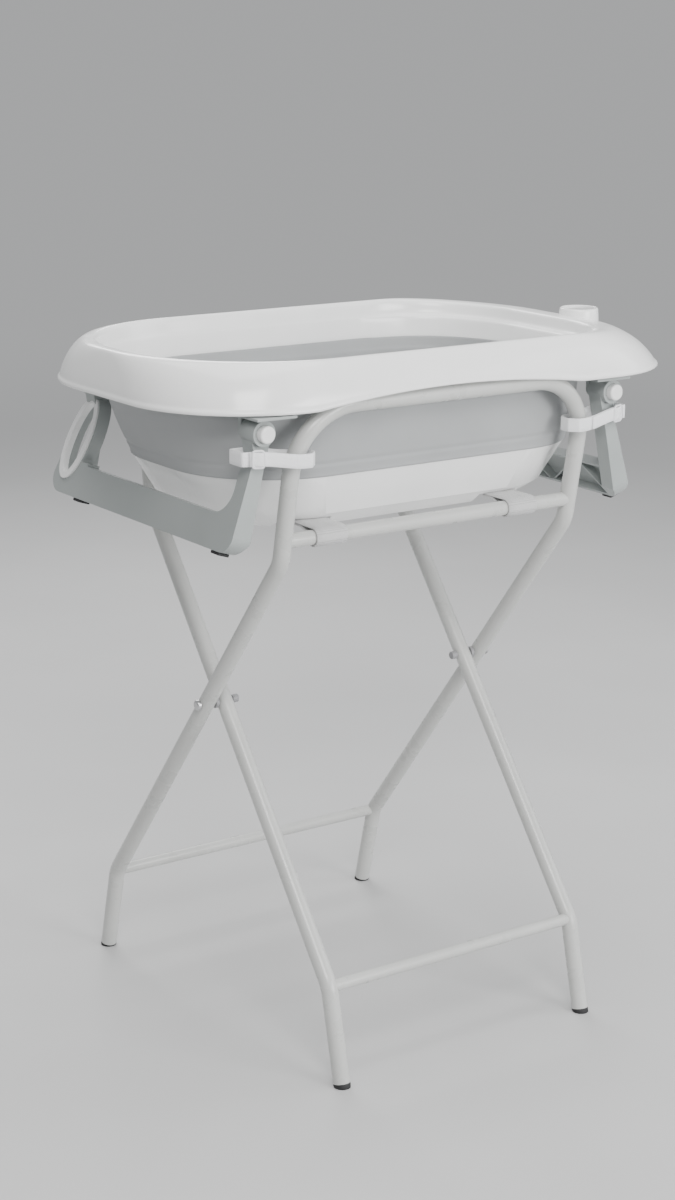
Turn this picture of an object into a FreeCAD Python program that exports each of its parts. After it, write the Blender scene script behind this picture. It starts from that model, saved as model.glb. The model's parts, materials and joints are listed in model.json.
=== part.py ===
import FreeCAD, Part
import math
import os

from FreeCAD import Vector

# Folding baby bath strapped on a folding X stand. Millimetres.
# +X runs along the bath to its shelf end, +Y across it to the back, +Z up.
# The design's X starts at the middle of the stand. The saved pieces have their origin
# on the floor under the middle of the rim.

# ---- stand: driving dimensions ----
TUBE_R = 11.0              # radius of the main tube
TUBE_WALL = 1.5
HALF_SPAN_A = 225.0        # X of the outer frame's side tubes
FRAME_GAP = 5.6            # free space between the legs of the two frames
LEG_SLOPE = 0.785          # how far a leg runs out in Y for each unit of height
KNEE_Z = 125.0             # lower bend of a leg
PIVOT_Z = 439.0
HIP_Z = 664.0              # upper bend of a leg
FOOT_OUT = 30.0            # how far the foot stands out from the knee
TOP_Y = 212.0              # top bar of a frame
TOP_Z = 860.0
KNEE_BEND_R = 42.0
HIP_BEND_R = 46.0
TOP_BEND_R = 84.0
SEAM_BELOW_PIVOT = 23.0    # where the lower leg plugs into the upper bow
SPIGOT_LENGTH = 14.0
SPIGOT_CLEARANCE = 0.15
RAIL_Z = 693.0             # support rail that carries the webbing
RAIL_R = 9.5
CROSS_R = 8.0              # thin tube between the feet
CAP_HEIGHT = 5.0           # rubber foot below the tube's end
CAP_STEM = 16.0
CAP_STEM_CLEARANCE = 0.15

# ---- pivot hardware ----
BOLT_R = 3.0
BOLT_CLEARANCE = 0.15
BOLT_HEAD_R = 7.0
BOLT_HEAD_T = 5.0
NUT_R = 5.5
NUT_T = 9.0
SPACER_R = 8.0
SIDE_CLEARANCE = 0.3       # gap along X between the hardware and a tube

# ---- webbing straps that carry the pan ----
WEB_SIDE = 3.4             # left webbing clear of the inner frame's upright
WEB_RIGHT_X = 140.0
WEB_WIDTH = 46.0
WEB_T = 2.0
WEB_LIFT = 0.5             # webbing loop clear of the rail

# ---- bath: driving dimensions ----
RIM_X = (-372.0, 412.0)    # ends of the skirt's lower edge
RIM_WIDTH = 459.0
RIM_CORNER_R = 150.0
CREST_X = (-362.0, 356.0)  # ends of the crest
CREST_WIDTH = 412.0
CREST_CORNER_R = 165.0
RIM_BOTTOM_Z = 857.0
RIM_TOP_Z = 915.0
RIM_WALL = 3.0
SKIRT_CURVE = ((0.0, 0.0), (0.45, 0.66), (0.82, 0.91), (1.0, 1.0))  # lean, rise
ARCH_HALF = 205.0          # half width of the arch that clears the top bar
ARCH_RISE = 15.0
MOUTH_X = (-342.0, 322.0)  # ends of the opening at the rim's top
MOUTH_WIDTH = 396.0
MOUTH_CORNER_R = 150.0
MOUTH_TAPER = 6.0          # the inner wall leans in by this much
INNER_WALL_Z = 862.0       # lower edge of the rim's inner wall
BAND_T = 2.5
SEAM_Z = 764.0             # where the soft band meets the pan
SEAM_X = (-290.0, 298.0)
SEAM_WIDTH = 344.0
SEAM_CORNER_R = 135.0
PAN_BOTTOM_Z = 693.0
PAN_WALL = 3.0
PAN_KNUCKLE_Z = 18.0       # height of the pan's rounded lower edge
PAN_KNUCKLE_X = (-259.0, 265.0)
PAN_KNUCKLE_WIDTH = 300.0
PAN_KNUCKLE_CORNER_R = 118.0
PAN_FLOOR_X = (-227.0, 231.0)
PAN_FLOOR_WIDTH = 258.0
PAN_FLOOR_CORNER_R = 100.0
CHANNEL_WIDTH = 66.0       # notch in the pan's underside over each webbing
CHANNEL_DEPTH = 12.5
DRAIN_X = -60.0
DRAIN_R = 18.0
DRAIN_CLEARANCE = 0.3
DRAIN_LIP = 5.0            # flange of the plug beyond the hole
DRAIN_FLANGE_T = 3.0
TAB_HALF = 12.0            # pull tab of the plug
TAB_T = 4.0
TAB_H = 11.0
CUP_X = 370.0              # round holder on the shelf
CUP_Y = -24.0
CUP_R = 27.0
CUP_TOP_Z = 917.0
CUP_WALL = 4.0
CUP_FOOT = 18.0            # how deep the holder is set into the rim
CUP_DEPTH = 8.0
CUP_INSERT_T = 3.0
CUP_INSERT_CLEARANCE = 0.2

# ---- folding end legs ----
HINGE_X = 271.0
HINGE_Z = 835.0
LEG_SPLAY = 18.0           # degrees outward at rest
LEG_LENGTH = 150.0         # hinge axis to the leg's lower edge
LEG_PANEL_H = 44.0
LEG_SKIN = 4.0
LEG_DEPTH = 18.0           # skin with its ribs
RIB_T = 3.0
ARM_OUT_Y = 203.0          # outer face of an arm
ARM_W = 23.0
WIDE_IN_Y = 164.0          # foot of the arm with the hanging hole
WIDE_OUT_Y = 245.0
WIDE_WAIST = 24.0          # how far down from the foot's outer corner it is at full width
ARM_DEPTH = 27.0
ARM_NECK = 30.0            # below this the arm's front lies in the panel's plane
ARM_WAIST = 18.5           # depth of an arm below its hinge boss
ARM_WAIST_DOWN = 50.0      # hinge axis to that waist
PANEL_BAYS = 6             # crossed ribs behind a panel
LEG_CORNER_R = 22.0
LEG_CROTCH_R = 34.0
BOSS_R = 15.5
COLLAR_T = 8.0
HOLE_A = 22.0              # half axes of the hanging hole
HOLE_B = 54.0
HOLE_Y = 201.5
HOLE_DOWN = 73.0           # hinge axis to the hole's centre
HOLE_TILT = 17.5           # degrees; the hole's foot leans outward
HOLE_EDGE = 7.0            # material left round the hole
RING_LIP = 5.5
RING_T = 3.5
RING_DEPTH = 6.0
PAD_T = 4.0
PAD_LENGTH = 18.0

# ---- hinge brackets, pins and buttons ----
LUG_T = 7.0
LUG_GAP = 2.0              # between the lug and the arm
LUG_HALF = 12.0
FLANGE_Z = 852.5
FLANGE_T = 3.5
FLANGE_IN_Y = 176.0        # inner and outer edges of the flange
FLANGE_OUT_Y = 224.0
FLANGE_WING = 26.0         # how far the flange runs on towards the middle
FLANGE_LIP = 6.0
BOSS_POST_R = 5.0          # post inside the rim that a flange is fixed to
BOSS_POST_Y = 208.0
PIN_R = 4.0
PIN_CLEARANCE = 0.1
BUTTON_R = 10.5
BUTTON_CLEARANCE = 0.3
BUTTON_T = 10.0
BUTTON_PROUD = 9.0         # how far the cap stands out of the collar
BUTTON_ROUND = 2.5
SPRING_ROOM = 8.0
SPRING_R = 6.5
SPRING_WIRE_R = 0.6
SPRING_TURNS = 4
COIL_ARCS = 6              # arcs that make up one turn

# ---- hook and loop ties ----
TIE_Z = 806.0
TIE_WIDTH = 18.0
TIE_T = 1.8
TIE_GAP = 2.0
TIE_SLACK = 3.0            # room for the lean of the tube and the arm
BUCKLE_W = 17.0
BUCKLE_H = 21.5
BUCKLE_T = 3.0
BUCKLE_SLOT = 4.0
BUCKLE_BAR = 3.0           # material outside each slot
BUCKLE_ALONG = 8.0         # where the slider starts along the tie
BUCKLE_GAP = 0.2           # slider clear of the tape

# ---- worked out ----
HALF_SPAN_B = HALF_SPAN_A - 2 * TUBE_R - FRAME_GAP
WEB_X = (WEB_WIDTH / 2 + WEB_SIDE + TUBE_R - HALF_SPAN_B, WEB_RIGHT_X)
KNEE_Y = (PIVOT_Z - KNEE_Z) * LEG_SLOPE
HIP_Y = (HIP_Z - PIVOT_Z) * LEG_SLOPE
FOOT_Y = KNEE_Y + FOOT_OUT
TUBE_IN_R = TUBE_R - TUBE_WALL
LUG_Y = ARM_OUT_Y - ARM_W - LUG_GAP      # outer face of the lug
BUTTON_WELL_Y = ARM_OUT_Y + COLLAR_T - BUTTON_T - SPRING_ROOM
BOW_RADII = (HIP_BEND_R, TOP_BEND_R, TOP_BEND_R, HIP_BEND_R)
HEAD_X = HALF_SPAN_A + TUBE_R + SIDE_CLEARANCE
NUT_X = HALF_SPAN_B - TUBE_R - SIDE_CLEARANCE
SIDES = {"left": -1, "right": 1}
CORNERS = {"front": -1, "rear": 1}
Z_AXIS = Vector(0, 0, 1)
X_AXIS = Vector(1, 0, 0)
Y_AXIS = Vector(0, 1, 0)


def save(shape, name):
    """Writes a piece, moved so that the origin lies under the middle of the rim."""
    placed = shape.copy()
    placed.translate(Vector(-sum(RIM_X) / 2, 0, 0))
    placed.exportStep("parts/" + name + ".step")


def box(x0, x1, y0, y1, z0, z1):
    return Part.makeBox(x1 - x0, y1 - y0, z1 - z0, Vector(x0, y0, z0))


def rod(start, end, radius):
    along = end - start
    return Part.makeCylinder(radius, along.Length, start, along)


def mirror_x(shape):
    return shape.mirror(Vector(0, 0, 0), X_AXIS)


def mirror_y(shape):
    return shape.mirror(Vector(0, 0, 0), Y_AXIS)


def bent_path(points, radii):
    """Straight runs through the points, joined by tangent arcs of the given radii."""
    edges = []
    start = points[0]
    for before, corner, after, radius in zip(points, points[1:], points[2:], radii):
        to_a = (before - corner).normalize()
        to_b = (after - corner).normalize()
        half_turn = (math.pi - to_a.getAngle(to_b)) / 2
        first = corner + to_a * (radius * math.tan(half_turn))
        last = corner + to_b * (radius * math.tan(half_turn))
        inward = (to_a + to_b).normalize()
        middle = corner + inward * (radius / math.cos(half_turn) - radius)
        edges.append(Part.LineSegment(start, first).toShape())
        edges.append(Part.Arc(first, middle, last).toShape())
        start = last
    edges.append(Part.LineSegment(start, points[-1]).toShape())
    return Part.Wire(edges)


def sweep(path, points, radius):
    circle = Part.Wire([Part.makeCircle(radius, points[0], points[1] - points[0])])
    return path.makePipeShell([circle], True, False)


def bent_rod(points, radii, radius):
    return sweep(bent_path(points, radii), points, radius)


def bent_tube(points, radii):
    return bent_rod(points, radii, TUBE_R).cut(bent_rod(points, radii, TUBE_IN_R))


def rounded_outline(ends, width, corner, z):
    """Closed outline of a rounded rectangle at a height, between two X ends."""
    low, high = ends
    b = width / 2
    r = min(corner, b - 1.0)
    k = r * (1 - math.sqrt(0.5))

    def at(x, y):
        return Vector(x, y, z)

    edges = [
        Part.LineSegment(at(low + r, -b), at(high - r, -b)).toShape(),
        Part.Arc(at(high - r, -b), at(high - k, k - b), at(high, r - b)).toShape(),
        Part.LineSegment(at(high, r - b), at(high, b - r)).toShape(),
        Part.Arc(at(high, b - r), at(high - k, b - k), at(high - r, b)).toShape(),
        Part.LineSegment(at(high - r, b), at(low + r, b)).toShape(),
        Part.Arc(at(low + r, b), at(low + k, b - k), at(low, b - r)).toShape(),
        Part.LineSegment(at(low, b - r), at(low, r - b)).toShape(),
        Part.Arc(at(low, r - b), at(low + k, k - b), at(low + r, -b)).toShape(),
    ]
    return Part.Wire(edges)


def grown(section, amount):
    """The same outline, moved outward all round; a negative amount moves it inward."""
    (low, high), width, corner, z = section
    return (low - amount, high + amount), width + 2 * amount, corner, z


def rounded_loft(sections):
    """Solid through rounded outlines given as (X ends, width, corner, z)."""
    wires = [rounded_outline(*section) for section in sections]
    return Part.makeLoft(wires, True, True)


# ---- stand ----
def leg_point(half_span, side, reach, y, z):
    """Point on a leg. reach is -1 for the frame whose top is at the front."""
    return Vector(side * half_span, reach * y, z)


def seam_point(half_span, side, reach):
    """Where a lower leg plugs into the bow, below the pivot."""
    hip = leg_point(half_span, side, reach, HIP_Y, HIP_Z)
    pivot = leg_point(half_span, side, reach, 0, PIVOT_Z)
    down = (pivot - hip).normalize()
    return pivot + down * SEAM_BELOW_PIVOT


def bow_points(half_span, reach):
    """The bow runs up one side, across the top and down the other side."""
    points = []
    for side in (-1, 1):
        run = [
            seam_point(half_span, side, reach),
            leg_point(half_span, side, reach, HIP_Y, HIP_Z),
            leg_point(half_span, side, reach, TOP_Y, TOP_Z),
        ]
        points += run if side < 0 else run[::-1]
    return points


def pivot_bore(half_span, side, radius):
    x = side * half_span
    return rod(Vector(x - 2 * TUBE_R, 0, PIVOT_Z), Vector(x + 2 * TUBE_R, 0, PIVOT_Z), radius)


def bow(half_span, reach):
    shape = bent_tube(bow_points(half_span, reach), BOW_RADII)
    for side in SIDES.values():
        shape = shape.cut(pivot_bore(half_span, side, BOLT_R + BOLT_CLEARANCE))
    return shape


def lower_leg_points(half_span, side, reach):
    """From the seam down to the tube's end above the rubber foot."""
    knee = leg_point(half_span, side, reach, -KNEE_Y, KNEE_Z)
    floor = leg_point(half_span, side, reach, -FOOT_Y, 0)
    up = (knee - floor).normalize()
    return [seam_point(half_span, side, reach), knee, floor + up * CAP_HEIGHT]


def lower_leg(half_span, side, reach):
    points = lower_leg_points(half_span, side, reach)
    shape = bent_tube(points, (KNEE_BEND_R,))
    up = (points[0] - points[1]).normalize()
    spigot = rod(points[0] - up, points[0] + up * SPIGOT_LENGTH, TUBE_IN_R - SPIGOT_CLEARANCE)
    hollow = rod(points[0] - up * 2, points[0] + up * (SPIGOT_LENGTH + 1), TUBE_IN_R - 2 * TUBE_WALL)
    plug = rod(points[0] - up * 2 * TUBE_WALL, points[0], TUBE_IN_R).cut(hollow)
    return shape.fuse([spigot.cut(hollow), plug]).removeSplitter()


def foot_cap(half_span, side, reach):
    """Rubber foot: a stem in the tube's end, cut flat where it meets the floor."""
    points = lower_leg_points(half_span, side, reach)
    down = (points[2] - points[1]).normalize()
    stem = rod(points[2] - down * CAP_STEM, points[2] + down, TUBE_IN_R - CAP_STEM_CLEARANCE)
    dome = rod(points[2], points[2] + down * (CAP_HEIGHT + 2 * TUBE_R), TUBE_R)
    reach_out = 4 * TUBE_R
    floor = points[2] + down * CAP_HEIGHT
    below = box(floor.x - reach_out, floor.x + reach_out, floor.y - reach_out,
                floor.y + reach_out, -reach_out, 0)
    return stem.fuse(dome).cut(below).removeSplitter()


def solid_legs(half_span, reach):
    """Filled copies of the side tubes, to cope the tubes that are welded to them."""
    solids = [bent_rod(bow_points(half_span, reach), BOW_RADII, TUBE_R)]
    for side in SIDES.values():
        points = lower_leg_points(half_span, side, reach)
        solids.append(bent_rod(points, (KNEE_BEND_R,), TUBE_R))
    return solids


def between_legs(half_span, reach, y, z, radius):
    """Tube across the frame with its ends coped to the side tubes."""
    start = leg_point(half_span, -1, reach, y, z)
    end = leg_point(half_span, 1, reach, y, z)
    tube = rod(start, end, radius).cut(rod(start, end, radius - TUBE_WALL))
    return max(tube.cut(solid_legs(half_span, reach)).Solids, key=lambda s: s.Volume)


def upright_y(z):
    """How far an upright stands out at a height."""
    return HIP_Y + (TOP_Y - HIP_Y) * (z - HIP_Z) / (TOP_Z - HIP_Z)


def rail_y():
    return upright_y(RAIL_Z)


def build_frame(letter, half_span, reach):
    name = "frame_" + letter
    save(bow(half_span, reach), name + "_top_bow")
    for word, side in SIDES.items():
        save(lower_leg(half_span, side, reach), name + "_lower_leg_" + word)
    save(between_legs(half_span, reach, rail_y(), RAIL_Z, RAIL_R), name + "_support_rail")
    save(between_legs(half_span, reach, -KNEE_Y, KNEE_Z, CROSS_R), name + "_foot_cross_tube")
    caps = [foot_cap(half_span, side, reach) for side in SIDES.values()]
    save(Part.makeCompound(caps), name + "_rubber_feet")


def pivot_place(side, x):
    return Vector(side * x, 0, PIVOT_Z)


def pivot_bolt(side):
    shank = rod(pivot_place(side, HEAD_X), pivot_place(side, NUT_X - NUT_T + 2), BOLT_R)
    head = rod(pivot_place(side, HEAD_X), pivot_place(side, HEAD_X + BOLT_HEAD_T), BOLT_HEAD_R)
    rim = [e for e in head.Edges if abs(abs(e.CenterOfMass.x) - HEAD_X - BOLT_HEAD_T) < 0.1]
    return head.makeFillet(BOLT_HEAD_T * 0.6, rim).fuse(shank).removeSplitter()


def pivot_nut(side):
    start = pivot_place(side, NUT_X)
    end = pivot_place(side, NUT_X - NUT_T)
    nut = rod(start, end, NUT_R)
    return nut.cut(rod(start, pivot_place(side, NUT_X - NUT_T + 2), BOLT_R))


def pivot_spacer(side):
    start = pivot_place(side, HALF_SPAN_A - TUBE_R - SIDE_CLEARANCE)
    end = pivot_place(side, HALF_SPAN_B + TUBE_R + SIDE_CLEARANCE)
    return rod(start, end, SPACER_R).cut(rod(start, end, BOLT_R))


def build_pivots():
    for word, side in SIDES.items():
        save(pivot_bolt(side), "pivot_bolt_" + word)
    save(Part.makeCompound([pivot_nut(s) for s in SIDES.values()]), "pivot_cap_nuts")
    save(Part.makeCompound([pivot_spacer(s) for s in SIDES.values()]), "pivot_spacers")


def webbing(x):
    """Flat strap stitched in a loop round both support rails."""
    inner = RAIL_R + WEB_LIFT
    outer = inner + WEB_T
    y = rail_y()
    x0, x1 = x - WEB_WIDTH / 2, x + WEB_WIDTH / 2

    def loop(radius, over):
        return [rod(Vector(x0 - over, s * y, RAIL_Z), Vector(x1 + over, s * y, RAIL_Z), radius)
                for s in (-1, 1)]

    rings = [a.cut(b) for a, b in zip(loop(outer, 0), loop(inner, 1))]
    top = box(x0, x1, -y, y, RAIL_Z + inner, RAIL_Z + outer)
    return rings[0].fuse([rings[1], top]).removeSplitter()


# ---- bath ----
def mix(first, second, share):
    return first + (second - first) * share


def skirt_sections(inset, lowered):
    """Outer form of the rim, or its hollow when inset is the wall."""
    sections = []
    for lean, rise in SKIRT_CURVE:
        ends = tuple(mix(a, b, lean) for a, b in zip(RIM_X, CREST_X))
        width = mix(RIM_WIDTH, CREST_WIDTH, lean)
        corner = mix(RIM_CORNER_R, CREST_CORNER_R, lean)
        z = mix(RIM_BOTTOM_Z, RIM_TOP_Z - lowered, rise)
        sections.append(grown((ends, width, corner, z), -inset))
    return sections


def mouth_sections(grow, over):
    """Opening through the rim, or the inner wall's outer face when grow is the wall."""
    top = (MOUTH_X, MOUTH_WIDTH, MOUTH_CORNER_R, RIM_TOP_Z + over)
    return [grown(mouth_foot(INNER_WALL_Z), grow), grown(top, grow)]


def mouth_foot(z):
    """Lower edge of the rim's inner wall."""
    return grown((MOUTH_X, MOUTH_WIDTH, MOUTH_CORNER_R, z), -MOUTH_TAPER)


def arch_cut():
    """Shallow arch in each long side of the skirt, over the stand's top bar."""
    drop = 1.0
    profile = Part.Wire([
        Part.Arc(Vector(-ARCH_HALF, -RIM_WIDTH, RIM_BOTTOM_Z - drop),
                 Vector(0, -RIM_WIDTH, RIM_BOTTOM_Z + ARCH_RISE),
                 Vector(ARCH_HALF, -RIM_WIDTH, RIM_BOTTOM_Z - drop)).toShape(),
        Part.LineSegment(Vector(ARCH_HALF, -RIM_WIDTH, RIM_BOTTOM_Z - drop),
                         Vector(-ARCH_HALF, -RIM_WIDTH, RIM_BOTTOM_Z - drop)).toShape(),
    ])
    return Part.Face(profile).extrude(Vector(0, 2 * RIM_WIDTH, 0))


def bracket_posts(outer):
    """Posts inside the rim, down to the flange of each hinge bracket."""
    posts = []
    for side in SIDES.values():
        for depth in CORNERS.values():
            foot = Vector(side * HINGE_X, depth * BOSS_POST_Y, RIM_BOTTOM_Z)
            tall = Part.makeCylinder(BOSS_POST_R, RIM_TOP_Z - RIM_BOTTOM_Z, foot)
            stub = foot - Vector(0, 0, RIM_BOTTOM_Z - FLANGE_Z - FLANGE_T)
            posts.append(tall.common(outer))
            posts.append(rod(stub, foot, BOSS_POST_R))
    return posts


def build_rim():
    outer = rounded_loft(skirt_sections(0, 0))
    mouth = rounded_loft(mouth_sections(0, 2.0))
    below = rounded_outline(*mouth_foot(RIM_BOTTOM_Z - 1))
    drop_hole = Part.Face(below).extrude(Vector(0, 0, INNER_WALL_Z - RIM_BOTTOM_Z + 1))
    hollow = rounded_loft(skirt_sections(RIM_WALL, RIM_WALL))
    inner_wall = rounded_loft(mouth_sections(RIM_WALL, 0.0))
    rim = outer.cut(hollow.cut(inner_wall)).cut([mouth, drop_hole, arch_cut()])
    cup = Part.makeCylinder(CUP_R, CUP_TOP_Z - RIM_TOP_Z + CUP_FOOT,
                            Vector(CUP_X, CUP_Y, RIM_TOP_Z - CUP_FOOT))
    recess = Part.makeCylinder(CUP_R - CUP_WALL, CUP_DEPTH,
                               Vector(CUP_X, CUP_Y, CUP_TOP_Z - CUP_DEPTH))
    rim = rim.fuse([cup] + bracket_posts(outer)).cut(recess).removeSplitter()
    save(rim, "bath_rim")
    insert = Part.makeCylinder(CUP_R - CUP_WALL - CUP_INSERT_CLEARANCE, CUP_INSERT_T,
                               Vector(CUP_X, CUP_Y, CUP_TOP_Z - CUP_DEPTH))
    save(insert, "holder_insert")


def seam_outline():
    return SEAM_X, SEAM_WIDTH, SEAM_CORNER_R, SEAM_Z


def build_band():
    """The soft band hangs from the rim's inner wall down to the pan."""
    sections = [seam_outline(), mouth_foot(INNER_WALL_Z)]
    inner = [grown(section, -BAND_T) for section in sections]
    save(rounded_loft(sections).cut(rounded_loft(inner)), "soft_band")


def pan_sections(inset, lift):
    floor = PAN_BOTTOM_Z + lift
    sections = [
        (PAN_FLOOR_X, PAN_FLOOR_WIDTH, PAN_FLOOR_CORNER_R, floor),
        (PAN_KNUCKLE_X, PAN_KNUCKLE_WIDTH, PAN_KNUCKLE_CORNER_R, floor + PAN_KNUCKLE_Z),
        seam_outline(),
    ]
    return [grown(section, -inset) for section in sections]


def channel(x, inset):
    """Notch across the pan's underside, or its raised floor inside the pan."""
    half = CHANNEL_WIDTH / 2 + inset
    top = PAN_BOTTOM_Z + CHANNEL_DEPTH + inset
    return box(x - half, x + half, -SEAM_WIDTH, SEAM_WIDTH, PAN_BOTTOM_Z - 1, top)


def build_pan():
    outer = rounded_loft(pan_sections(0, 0))
    inside = rounded_loft(pan_sections(PAN_WALL, PAN_WALL))
    for x in WEB_X:
        inside = inside.cut(channel(x, PAN_WALL))
    pan = outer.cut(inside).cut([channel(x, 0) for x in WEB_X])
    hole = Part.makeCylinder(DRAIN_R, 4 * PAN_WALL, Vector(DRAIN_X, 0, PAN_BOTTOM_Z - PAN_WALL))
    save(pan.cut(hole), "bath_pan")


def build_drain_plug():
    stem = Part.makeCylinder(DRAIN_R - DRAIN_CLEARANCE, PAN_WALL, Vector(DRAIN_X, 0, PAN_BOTTOM_Z))
    base = PAN_BOTTOM_Z + PAN_WALL + DRAIN_CLEARANCE
    flange = Part.makeCylinder(DRAIN_R + DRAIN_LIP, DRAIN_FLANGE_T, Vector(DRAIN_X, 0, base))
    neck = Part.makeCylinder(DRAIN_R - 2, 3 * DRAIN_CLEARANCE,
                             Vector(DRAIN_X, 0, base - 2 * DRAIN_CLEARANCE))
    tab = box(DRAIN_X - TAB_HALF, DRAIN_X + TAB_HALF, -TAB_T / 2, TAB_T / 2,
              base + DRAIN_FLANGE_T - 1, base + DRAIN_FLANGE_T - 1 + TAB_H)
    save(stem.fuse([neck, flange, tab]).removeSplitter(), "drain_plug")


# ---- folding legs ----
def leg_place(shape, side):
    """Turn a leg drawn upright at the left hinge out to its splay, then to its end."""
    turned = shape.copy()
    turned.rotate(Vector(-HINGE_X, 0, HINGE_Z), Y_AXIS, LEG_SPLAY)
    return turned if side < 0 else mirror_x(turned)


def arm_block(y0, y1):
    """Arm of the left leg, drawn upright: deep at the sides, round at the hinge."""
    x = -HINGE_X
    outline = Part.makePolygon([
        Vector(x - BOSS_R, y0, HINGE_Z), Vector(x, y0, HINGE_Z - ARM_NECK),
        Vector(x, y0, HINGE_Z - LEG_LENGTH),
        Vector(x + LEG_DEPTH, y0, HINGE_Z - LEG_LENGTH),
        Vector(x + ARM_DEPTH, y0, HINGE_Z - LEG_LENGTH + LEG_DEPTH),
        Vector(x + ARM_WAIST, y0, HINGE_Z - ARM_WAIST_DOWN), Vector(x + BOSS_R, y0, HINGE_Z),
        Vector(x - BOSS_R, y0, HINGE_Z)])
    block = Part.Face(outline).extrude(Vector(0, y1 - y0, 0))
    boss = rod(Vector(x, y0, HINGE_Z), Vector(x, y1, HINGE_Z), BOSS_R)
    return block.fuse(boss)


def cross_panel(y0, y1):
    """Skin between the arms, with top and bottom lips and crossed ribs behind it."""
    x = -HINGE_X
    low = HINGE_Z - LEG_LENGTH
    high = low + LEG_PANEL_H
    skin = box(x, x + LEG_SKIN, y0, y1, low, high)
    lips = [box(x, x + LEG_DEPTH, y0, y1, low, low + RIB_T),
            box(x, x + LEG_DEPTH, y0, y1, high - RIB_T, high)]
    ribs = []
    step = (y1 - y0) / PANEL_BAYS
    for bay in range(PANEL_BAYS):
        a = y0 + bay * step
        ends = ((low, high), (high, low))
        z0, z1 = ends[bay % 2]
        quad = Part.makePolygon([
            Vector(x, a, z0), Vector(x, a + RIB_T, z0), Vector(x, a + step, z1),
            Vector(x, a + step - RIB_T, z1), Vector(x, a, z0)])
        ribs.append(Part.Face(quad).extrude(Vector(LEG_DEPTH - 2, 0, 0)))
    return skin.fuse(lips + ribs)


def crotch(y, toward):
    """Rounded gusset where the panel meets an arm; toward is the side of the gap."""
    x = -HINGE_X
    z = HINGE_Z - LEG_LENGTH + LEG_PANEL_H
    r = LEG_CROTCH_R
    y0, y1 = sorted((y, y + toward * r))
    block = box(x, x + LEG_SKIN, y0, y1, z - 1, z + r)
    centre = Vector(x - 1, y + toward * r, z + r)
    return block.cut(rod(centre, centre + Vector(LEG_SKIN + 2, 0, 0), r))


def rounded_corner(y, outward):
    """What is cut off a lower outer corner of a leg."""
    x = -HINGE_X - BOSS_R
    z = HINGE_Z - LEG_LENGTH
    r = LEG_CORNER_R
    y0, y1 = sorted((y + outward, y - outward * r))
    block = box(x, x + 3 * ARM_DEPTH, y0, y1, z - 1, z + r)
    centre = Vector(x - 1, y - outward * r, z + r)
    return block.cut(rod(centre, centre + Vector(3 * ARM_DEPTH + 2, 0, 0), r))


def hanging_oval(grow, x0, x1):
    """Upright oval prism through the wide arm, grown by a margin."""
    z = HINGE_Z - HOLE_DOWN
    ellipse = Part.Ellipse(Vector(0, 0, 0), HOLE_B + grow, HOLE_A + grow).toShape()
    face = Part.Face(Part.Wire([ellipse]))
    face.rotate(Vector(0, 0, 0), Y_AXIS, -90)
    face.rotate(Vector(0, 0, 0), X_AXIS, HOLE_TILT)
    face.translate(Vector(x0, HOLE_Y, z))
    return face.extrude(Vector(x1 - x0, 0, 0))


def wide_foot():
    """Foot of the wide arm, from the panel out to the corner below the hanging hole."""
    x = -HINGE_X
    low = HINGE_Z - LEG_LENGTH
    high = low + LEG_PANEL_H + LEG_SKIN
    waist = low + WIDE_WAIST
    out = WIDE_OUT_Y - (high - waist) * math.tan(math.radians(HOLE_TILT))
    profile = Part.makePolygon([
        Vector(x, WIDE_IN_Y, low), Vector(x, WIDE_IN_Y, high), Vector(x, out, high),
        Vector(x, WIDE_OUT_Y, waist), Vector(x, WIDE_OUT_Y, low), Vector(x, WIDE_IN_Y, low)])
    return Part.Face(profile).extrude(Vector(LEG_DEPTH, 0, 0))


def leg_solid(wide):
    """Left leg, drawn upright. The wide one has the hanging hole in its rear arm."""
    x = -HINGE_X
    front, rear = -ARM_OUT_Y, ARM_OUT_Y
    gap0, gap1 = front + ARM_W, rear - ARM_W
    pieces = [arm_block(front, gap0), arm_block(gap1, rear)]
    pieces += [cross_panel(gap0, gap1), crotch(gap0, 1)]
    if wide:
        pieces.append(wide_foot())
        pieces.append(hanging_oval(HOLE_EDGE, x, x + LEG_DEPTH))
        rear = WIDE_OUT_Y
    else:
        pieces.append(crotch(gap1, -1))
    leg = pieces[0].fuse(pieces[1:])
    leg = leg.cut([rounded_corner(front, -1), rounded_corner(rear, 1)])
    for sign in (-1, 1):
        outer = Vector(x, sign * ARM_OUT_Y, HINGE_Z)
        out = Vector(0, sign, 0)
        floor = Vector(x, sign * BUTTON_WELL_Y, HINGE_Z)
        leg = leg.fuse(rod(outer - out, outer + out * COLLAR_T, BOSS_R))
        leg = leg.cut(rod(floor, outer + out * (COLLAR_T + 1), BUTTON_R + BUTTON_CLEARANCE))
        leg = leg.cut(rod(outer - out * (ARM_W + 1), floor + out, PIN_R + PIN_CLEARANCE))
    if wide:
        leg = leg.cut(hanging_oval(0, x - 30, x + 60))
    return leg.removeSplitter()


def hanging_ring():
    """White liner of the hanging hole, with a lip on the outer face."""
    x = -HINGE_X
    lip = RING_LIP * 0.5
    body = hanging_oval(0, x, x + RING_DEPTH).fuse(hanging_oval(RING_LIP, x - lip, x))
    boss = rod(Vector(x, 0, HINGE_Z), Vector(x, WIDE_OUT_Y, HINGE_Z), BOSS_R)
    neck = arm_block(ARM_OUT_Y - ARM_W, ARM_OUT_Y)
    opening = hanging_oval(-RING_T, x - 10, x + 60)
    return body.cut([opening, boss, neck.cut(hanging_oval(0, x - 10, x + 60))]).removeSplitter()


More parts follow.
